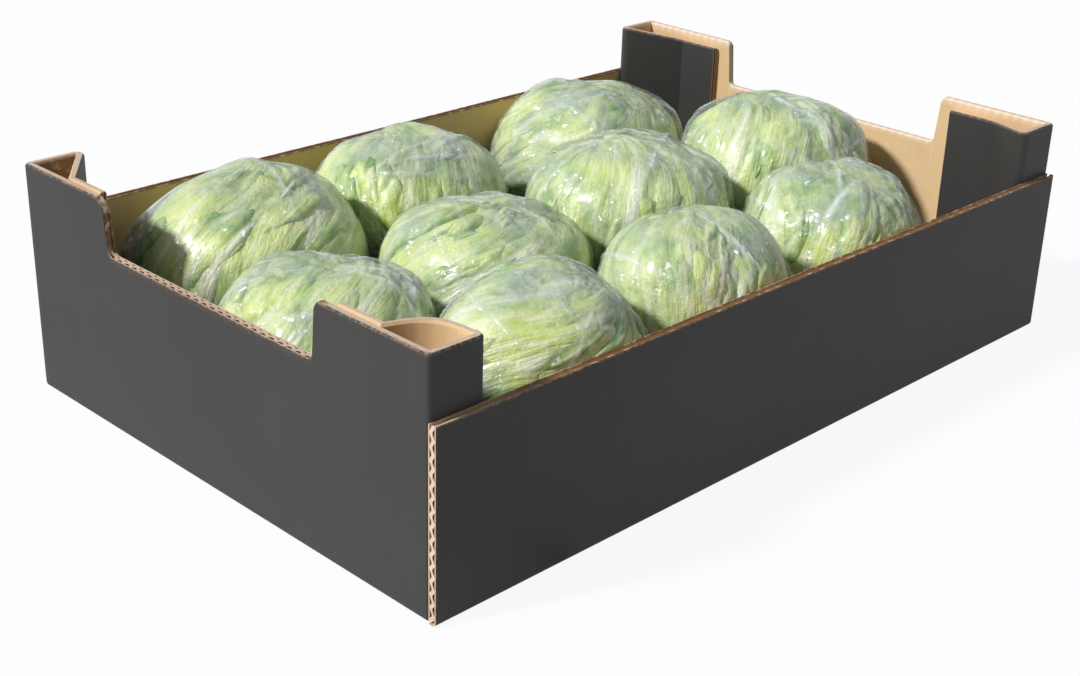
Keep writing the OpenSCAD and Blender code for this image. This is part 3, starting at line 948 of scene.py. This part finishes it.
# %% Build the heads
NARROW_TOPS = np.array([50.0, 60.0, 74.0])
INNER_TOPS = np.array([9.0, 27.0, 15.0])
WIDE = dict(count=5, tops=LEAF_TOPS, layer=0.15, loose=1.0, foot=158.0, turn=0.0, grid=(58, 58))
NARROW = dict(count=8, tops=NARROW_TOPS, layer=0.0, loose=0.8, foot=156.0, turn=20.0, grid=(44, 40))
INNER = dict(count=3, tops=INNER_TOPS, layer=0.55, loose=0.3, foot=148.0, turn=47.0, grid=(56, 40))
CORE_GRID = (32, 48)
LEAVES = [(WIDE, leaf) for leaf in range(5)] + [(NARROW, leaf) for leaf in (0, 4)]
LEAVES += [(INNER, leaf) for leaf in range(3)]


def head_piece(i):
    """Core and leaves of head i as one mesh, each grid with its own points."""
    seed = 1000 * (i + 1)
    grids = [heart(i, CORE_GRID, seed)]
    for k, (kind, leaf) in enumerate(LEAVES):
        grids.append(leaf_sheet(i, leaf, seed=seed + 10 * (k + 1), **kind))
    points, quads, count = [], [], 0
    values = {key: [] for key in grids[0][1]}
    for k, (p, v) in enumerate(grids):
        rows, columns = p.shape[:2]
        cells = grid_quads(rows, columns, count, wrap=k == 0)
        quads.append(cells[:, ::-1] if k == 0 else cells)
        points.append(p.reshape(-1, 3))
        for key in values:
            values[key].append(v[key].reshape(rows * columns, -1).squeeze())
        count += rows * columns
    crown = np.arange(CORE_GRID[1])[None]
    base = crown[:, ::-1] + (CORE_GRID[0] - 1) * CORE_GRID[1]
    faces = [np.concatenate(quads), crown, base]
    joined = {key: np.concatenate(v) for key, v in values.items()}
    piece = make_piece(f"lettuce_head_{i + 1}", np.concatenate(points), faces, [LEAF], values=joined)
    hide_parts(f"lettuce_{i + 1}")
    return piece


HEAD_PIECES = [head_piece(i) for i in range(len(HEADS))]
print("leaves in a head:", len(LEAVES))
print("triangles in a head:", sum(len(p.vertices) - 2 for p in HEAD_PIECES[0].data.polygons))

# %% [markdown]
# ## Film finish
# The wrap is thin clear film. It is seen by its gloss, by the milky veil where it is slack or
# doubled, and by white glints along the creases. On the crown that veil is also a painted
# reflection of the sky, and the glints, the white crease lines and the pale grazing edge are
# painted highlights in its colour and opacity. Glass would bend the view, which film does not,
# so the shader is a glossy white one that is mostly see-through, and more so where nothing folds.
# Crumpled film has flat facets with straight creases between them, which is just what the cells of
# a Voronoi pattern look like, so those cells tilt its gloss.

# %% Film finish


def film_finish():
    """Opacity is a low floor plus the milky film, which on the crown is a painted reflection of the
    sky, and the painted highlights: glints, creases and the grazing edge.
    """
    material, tree, shader, place = new_finish("clear_film")
    crumple = noise(tree, place, 38.0, 3.0, 0.62)
    sparkle = noise(tree, place, 170.0, 1.0)
    # Painted highlight: white glints where fine noise peaks on the crumples.
    glint = math(tree, "MULTIPLY", ramp(tree, sparkle, 0.66, 0.74), ramp(tree, crumple, 0.50, 0.58))
    white = math(tree, "MAXIMUM", glint, attribute(tree, "crease_highlight"))
    # Milky where the film is slack, doubled or lifted into the ear, and on the crown a painted
    # reflection of the sky in the grey-blue colour below.
    veil_and_sky_reflection = math(tree, "MULTIPLY", attribute(tree, "veil_and_sky_reflection"), ramp(tree, crumple, 0.38, 0.60, 0.08, 1.3))
    # Painted sheen: the grazing edge is made more opaque and, below, whiter.
    edge = add(tree, "ShaderNodeLayerWeight", {"Blend": 0.22}).outputs["Facing"]
    alpha = math(tree, "MULTIPLY_ADD", veil_and_sky_reflection, 0.36, 0.05)
    for part, share in ((white, 0.55), (edge, 0.4)):
        alpha = math(tree, "ADD", alpha, math(tree, "MULTIPLY", part, share), clamp=True)
    tree.links.new(alpha, shader.inputs["Alpha"])
    cells = {"Vector": place, "Scale": 70.0}
    facets = add(tree, "ShaderNodeTexVoronoi", cells, feature="DISTANCE_TO_EDGE").outputs["Distance"]
    bump(tree, shader, math(tree, "ADD", facets, crumple), 0.006, 0.8)
    # Painted highlight: the grey-blue colour goes white on the glints, the creases and, by half, the
    # grazing edge.
    painted_highlight_tint = math(tree, "MAXIMUM", white, math(tree, "MULTIPLY", edge, 0.5))
    tree.links.new(blend(tree, painted_highlight_tint, srgb("90a39b"), srgb("fafbf9")), shader.inputs["Base Color"])
    shader.inputs["Roughness"].default_value = 0.18
    shader.inputs["Specular IOR Level"].default_value = 0.6
    return material


FILM = film_finish()
print("film finish:", FILM.name)

# %% [markdown]
# ## Film wraps
# Each sheet of film is drawn over the crown and gathered under the base. It lies on the bulges of
# the leaves, spans the hollows, lifts into a loose ear where a corner was folded in, and is pulled
# into straight tight lines. Cloth simulation makes soft cloth folds, not the sharp lines of film.
# So the film starts as the highest leaf in every direction, with narrow hollows closed, and its
# folds are added as ridges: bells along flat cuts through the head, pleats at the base and a fan
# round the ear.

# %% Film over the leaves
FILM_GRID = (92, 144)
FILM_MOUTH = 172.0
HOLLOW_STEPS, SMOOTH_STEPS = 4, 3


def near_cells(grid, pick):
    """pick (largest, smallest or mean) of each cell of a ring grid and its eight neighbours."""
    rows = np.pad(grid, ((1, 1), (0, 0)), mode="edge")
    columns = pick([np.roll(rows, k, axis=1) for k in (-1, 0, 1)], axis=0)
    return pick([columns[:-2], columns[1:-1], columns[2:]], axis=0)


def over_leaves(i):
    """Radius of a sheet drawn over head i: the highest leaf point in every cell of the film's
    grid, grown and then shrunk by a few cells so that narrow hollows close, and smoothed."""
    mesh = HEAD_PIECES[i].data
    points = np.empty(3 * len(mesh.vertices), np.float32)
    mesh.vertices.foreach_get("co", points)
    out = points.reshape(-1, 3) / MM - CENTRES[i]
    r = np.linalg.norm(out, axis=1)
    polar = np.degrees(np.arccos(out[:, 2] / r))
    row = np.clip(np.round(polar / FILM_MOUTH * (FILM_GRID[0] - 1)), 0, FILM_GRID[0] - 1).astype(int)
    column = np.round(np.arctan2(out[:, 1], out[:, 0]) / (2 * np.pi) * FILM_GRID[1]).astype(int)
    top = np.zeros(FILM_GRID)
    np.maximum.at(top, (row, column % FILM_GRID[1]), r)
    crown = slice(0, 3)
    top[crown] = top[crown].max()
    for pick, steps in ((np.max, HOLLOW_STEPS), (np.min, HOLLOW_STEPS - 1), (np.mean, SMOOTH_STEPS)):
        for _ in range(steps):
            top = near_cells(top, pick)
    return top


print("film grid:", FILM_GRID)

# %% Folds of the film
EAR_FOLDS, FAN_AT, FAN_WIDTH, FULL_EAR = 11, 20.0, 15.0, 10.0
TAUT_LINES, TAUT_WIDTH, TAUT_REACH = 16, 0.03, 0.45
BASE_PLEATS, MOUTH_PLEATS = 26, 32


def ear_folds(i, e, rng):
    """How near each direction is to the loose ear of head i's film, and the folds round the ear.

    Nearness is a bell of the angle to the ear. The folds are a squared cosine of the angle round
    it, on a ring some way out, and all of it grows with the ear's rise."""
    ear_bearing, ear_up, ear_rise = HEADS[i, 5:]
    ear = direction(90 - ear_up, ear_bearing)
    sideways = np.cross(ear, [0, 0, 1])
    sideways /= np.linalg.norm(sideways)
    away = np.degrees(np.arccos(np.clip(e @ ear, -1, 1)))
    round_ear = np.arctan2(e @ np.cross(ear, sideways), e @ sideways)
    fan = (0.5 + 0.5 * np.cos(EAR_FOLDS * round_ear + 3 * rng.uniform())) ** 2
    fan *= bell(away - FAN_AT, FAN_WIDTH) * ear_rise / FULL_EAR
    return bell(away, EAR_SPREAD), fan


def taut_folds(e, rng):
    """Straight ridges: a bell across each of some random planes, fading out away from one side."""
    taut = np.zeros(e.shape[:-1])
    for _ in range(TAUT_LINES):
        across, window = rng.normal(size=(2, 3))
        across /= np.linalg.norm(across)
        window /= np.linalg.norm(window)
        line = bell(e @ across - rng.uniform(-0.5, 0.5), TAUT_WIDTH)
        taut = np.maximum(taut, line * bell(e @ window - 0.5, TAUT_REACH))
    return taut


def base_pleats(polar, bearing, e, seed):
    """Upright pleats low on the head, a squared sine of the bearing that wanders a little."""
    wander = 2 * ripples(e, 0.8, seed)
    pleats = (0.5 + 0.5 * np.sin(np.radians(bearing) * BASE_PLEATS + wander)) ** 2
    return pleats * smooth_step(85, 135, polar)


def mouth_gather(polar, bearing):
    """How far the film is tucked in round its open mouth: a cosine of the bearing."""
    folds = 0.5 + 0.5 * np.cos(np.radians(bearing) * MOUTH_PLEATS)
    return smooth_step(148, FILM_MOUTH, polar) * folds


print("taut lines in a film:", TAUT_LINES)

# %% Build the film wraps
FAN_RISE, TAUT_RISE, PLEAT_RISE = 2.4, 1.8, 1.0
MOUTH_TUCK = 6.5


def film_points(i, seed):
    """The film of head i as a grid of rings, with the values that its finish reads.

    What lifts it off the leaves is eased in the same way as a head, so it passes no neighbour."""
    rng = np.random.default_rng(seed)
    polar, bearing = np.meshgrid(
        np.append([0.4], np.linspace(0, FILM_MOUTH, FILM_GRID[0])[1:]),
        np.linspace(0, 360, FILM_GRID[1], endpoint=False), indexing="ij",
    )
    e = direction(polar, bearing)
    ear_rise = HEADS[i, 7]
    near_ear, fan = ear_folds(i, e, rng)
    taut = taut_folds(e, rng)
    pleats = base_pleats(polar, bearing, e, seed + 1)
    loose = ear_rise * near_ear + FAN_RISE * fan
    loose = loose + TAUT_RISE * taut + PLEAT_RISE * pleats + FILM_ROOM
    plain = plain_radius(i, e, bearing)
    lift = pressed(i, plain + loose, e) - pressed(i, plain, e)
    r = over_leaves(i) + lift - MOUTH_TUCK * mouth_gather(polar, bearing)
    # The milky film is strongest on the crown, where it is a painted reflection of the sky, and real in
    # the slack patches and at the ear.
    slack = ripples(e * HALF_D[i], 55, seed + 3)
    veil_and_sky_reflection = smooth_step(66, 22, polar) * (0.65 + 0.5 * slack).clip(0, 1.3)
    veil_and_sky_reflection = veil_and_sky_reflection + 0.55 * smooth_step(0.35, 1.1, slack)
    values = {
        # Painted white highlights along the taut lines, the ear's fan and the base pleats.
        "crease_highlight": np.clip(0.55 * taut + 0.6 * fan + 0.2 * pleats, 0, 1).ravel(),
        "veil_and_sky_reflection": (veil_and_sky_reflection + 0.9 * near_ear * ear_rise / FULL_EAR).clip(0, 1.2).ravel(),
    }
    return (CENTRES[i] + e * r[..., None]).reshape(-1, 3), values


def film_piece(i):
    """The film of head i: rings closed over the crown, with an open mouth below."""
    points, values = film_points(i, 77 * (i + 1))
    rings = grid_quads(*FILM_GRID, wrap=True)[:, ::-1]
    crown = np.arange(FILM_GRID[1])[None]
    piece = make_piece(f"film_{i + 1}", points, [rings, crown], [FILM], values=values)
    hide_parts(f"film_wrap_{i + 1}")
    piece.visible_shadow = False
    piece.visible_diffuse = False
    return piece


FILM_PIECES = [film_piece(i) for i in range(len(HEADS))]
print("triangles in a film:", sum(len(p.vertices) - 2 for p in FILM_PIECES[0].data.polygons))

# %% [markdown]
# ## Camera
# The camera stands where the tray's corners fall on their places in the photograph: in front of
# the left near corner, looking down a little, and turned by a degree or two.

# %% Camera
LENS_MM, SENSOR_MM = 57.32, 36.0
STAND = (-0.8100, -0.7704, 0.5136)
# Degrees about X, up from looking straight down, then about Y, then about Z, round from facing +Y
TURNED = (65.753, -1.587, -44.866)
camera_data = bpy.data.cameras.new("camera")
camera_data.sensor_width = SENSOR_MM
camera_data.lens = LENS_MM
camera = bpy.data.objects.new("camera", camera_data)
bpy.context.scene.collection.objects.link(camera)
camera.matrix_world = Matrix.Translation(STAND) @ Euler(np.radians(TURNED)).to_matrix().to_4x4()
bpy.context.scene.camera = camera
print("camera at", STAND)

# %% [markdown]
# ## Floor and light
# The box stands on plain white. The floor takes the box's soft shadow, and the camera also sees
# some of its own white there, so the page stays pale. A far-off lamp from the left and a little
# behind lights the left end and the leaves, as in the photograph, and an even, slightly cool world
# fills the shadows.

# %% Floor and light
FLOOR_HALF, FLOOR_GLOW = 6.0, 0.92
WORLD_LIGHT = 0.25
FILL = srgb("edf8ff")


def seen_directly(tree):
    """Socket that is 1 for camera, glossy and transmission rays, and 0 for light bounces."""
    path = add(tree, "ShaderNodeLightPath")
    seen = math(tree, "MAXIMUM", path.outputs["Is Camera Ray"], path.outputs["Is Glossy Ray"])
    return math(tree, "MAXIMUM", seen, path.outputs["Is Transmission Ray"])


def white_floor():
    """Matt white, with most of what is seen directly taken from its own glow, and clear from below
    so that the underside can be looked at."""
    material, tree, shader, _ = new_finish("white_floor")
    shader.inputs["Base Color"].default_value = (0.86, 0.86, 0.86, 1)
    shader.inputs["Roughness"].default_value = 0.9
    glow = add(tree, "ShaderNodeEmission", {"Strength": 1.0})
    share = math(tree, "MULTIPLY", seen_directly(tree), FLOOR_GLOW)
    mix = add(tree, "ShaderNodeMixShader", {0: share, 1: shader.outputs[0], 2: glow.outputs[0]})
    below = add(tree, "ShaderNodeNewGeometry").outputs["Backfacing"]
    clear = add(tree, "ShaderNodeBsdfTransparent")
    mix = add(tree, "ShaderNodeMixShader", {0: below, 1: mix.outputs[0], 2: clear.outputs[0]})
    tree.links.new(mix.outputs[0], tree.nodes["Material Output"].inputs["Surface"])
    return material


corner = np.array([[-1, -1, 0], [1, -1, 0], [1, 1, 0], [-1, 1, 0]]) * FLOOR_HALF / MM
floor = make_piece("floor", corner, [np.arange(4)[None]], [white_floor()])
floor.parent = None

world = bpy.data.worlds.new("studio")
world.use_nodes = True
bpy.context.scene.world = world
sky = world.node_tree
background = sky.nodes["Background"]
seen = seen_directly(sky)
sky.links.new(ramp(sky, seen, 0, 1, WORLD_LIGHT, 1.0), background.inputs["Strength"])
sky.links.new(blend(sky, seen, FILL, srgb("ffffff")), background.inputs["Color"])
print("floor", 2 * FLOOR_HALF, "m wide, world light", WORLD_LIGHT)

# %% Lamp
KEY_FROM, KEY_LEVEL, KEY_SPREAD = (-0.74, 0.27, 0.62), 1.12, 6.0


def distant_lamp(name, comes_from, level, spread):
    """A far-off soft lamp: level is what a white face turned to it shows, and spread is its width
    in degrees."""
    data = bpy.data.lights.new(name, "SUN")
    data.energy = level * np.pi
    data.angle = np.radians(spread)
    piece = bpy.data.objects.new(name, data)
    bpy.context.scene.collection.objects.link(piece)
    piece.matrix_world = Vector(comes_from).to_track_quat("Z", "Y").to_matrix().to_4x4()


distant_lamp("key", KEY_FROM, KEY_LEVEL, KEY_SPREAD)
bpy.context.scene.view_settings.view_transform = "Standard"
print("lit by one lamp and the world")
